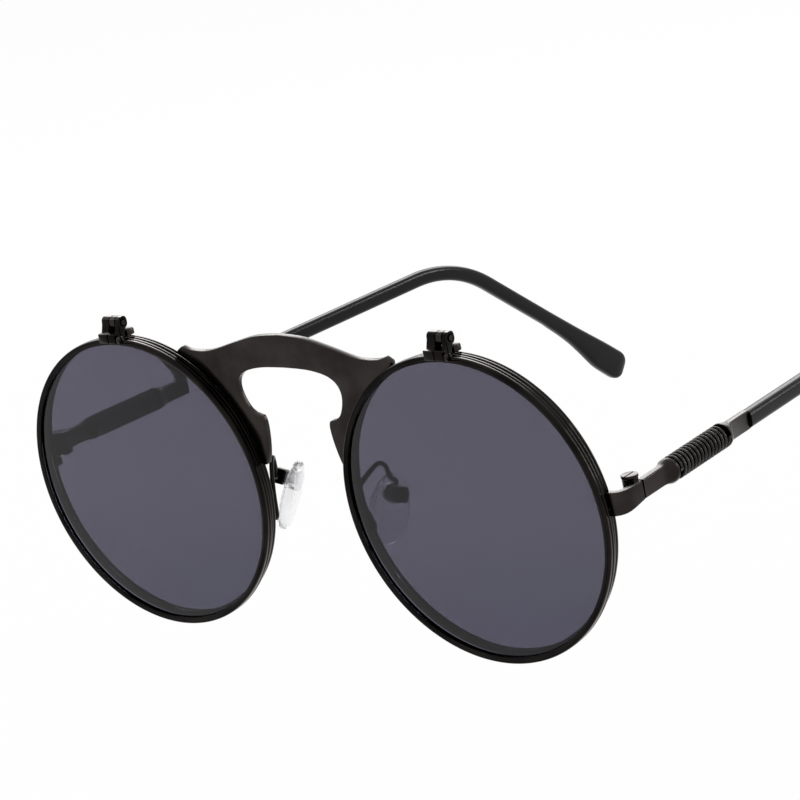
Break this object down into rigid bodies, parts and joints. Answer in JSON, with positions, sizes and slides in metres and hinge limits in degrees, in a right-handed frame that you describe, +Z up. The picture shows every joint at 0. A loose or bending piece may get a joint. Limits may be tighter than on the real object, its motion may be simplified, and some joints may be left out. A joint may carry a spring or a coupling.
{
  "type": "flip-up sunglasses",
  "caption": "Round flip-up sunglasses: tinted lenses hinged over clear ones, plate bridge, springs on folding temples, wire nose pads.",
  "frame": {"origin": "middle of the bounding box's bottom, on the floor the glasses stand on", "axes": "+X to the wearer's left, +Y from the lenses back to the temple tips, +Z up; the glasses stand open"},
  "size_m": [0.1304, 0.1642, 0.0559],
  "materials": {
    "gunmetal": "dark satin",
    "black_metal": "gloss black",
    "steel": "satin",
    "dark_lens": "tinted, polished",
    "clear_lens": "clear, polished",
    "silicone": "clear soft",
    "black_plastic": "gloss black"
  },
  "bodies": {
    "frame": {"bridge_plate": "gunmetal", "clear_lens_left": "clear_lens", "clear_lens_right": "clear_lens", "end_piece_left": "gunmetal", "end_piece_right": "gunmetal", "flip_bracket_left": "gunmetal", "flip_bracket_right": "gunmetal", "flip_pin_left": "steel", "flip_pin_right": "steel", "hinge_screw_left": "gunmetal", "hinge_screw_right": "gunmetal", "nose_pad_left": "silicone", "nose_pad_right": "silicone", "pad_arm_left": "black_metal", "pad_arm_right": "black_metal", "pad_box_left": "black_metal", "pad_box_right": "black_metal", "pad_insert_left": "steel", "pad_insert_right": "steel", "pad_screw_left": "steel", "pad_screw_right": "steel", "rear_rim_left": "black_metal", "rear_rim_right": "black_metal", "rim_lock_screw_left": "steel", "rim_lock_screw_right": "steel"},
    "flip_up_left": {"front_rim_left": "black_metal", "closing_screw_left": "black_metal", "dark_lens_left": "dark_lens"},
    "arm_left": {"temple_bar_left": "gunmetal", "temple_spring_left": "gunmetal", "temple_tip_left": "black_plastic"},
    "flip_up_right": {"front_rim_right": "black_metal", "closing_screw_right": "black_metal", "dark_lens_right": "dark_lens"},
    "arm_right": {"temple_bar_right": "gunmetal", "temple_spring_right": "gunmetal", "temple_tip_right": "black_plastic"}
  },
  "joints": [
    {"name": "flip_left", "type": "hinge", "parent": "frame", "child": "flip_up_left", "pos_m": [-0.03515, -0.07973, 0.05488], "axis": [-1, 0, 0], "range_deg": [0, 105]},
    {"name": "flip_right", "type": "hinge", "parent": "frame", "child": "flip_up_right", "pos_m": [0.03595, -0.07973, 0.05488], "axis": [-1, 0, 0], "range_deg": [0, 105]},
    {"name": "temple_left", "type": "hinge", "parent": "frame", "child": "arm_left", "pos_m": [-0.0619, -0.07099, 0.02957], "axis": [0, 0.0577, -0.9983], "range_deg": [0, 85.5]},
    {"name": "temple_right", "type": "hinge", "parent": "frame", "child": "arm_right", "pos_m": [0.0619, -0.07099, 0.02957], "axis": [0, -0.0577, 0.9983], "range_deg": [0, 65]}
  ]
}
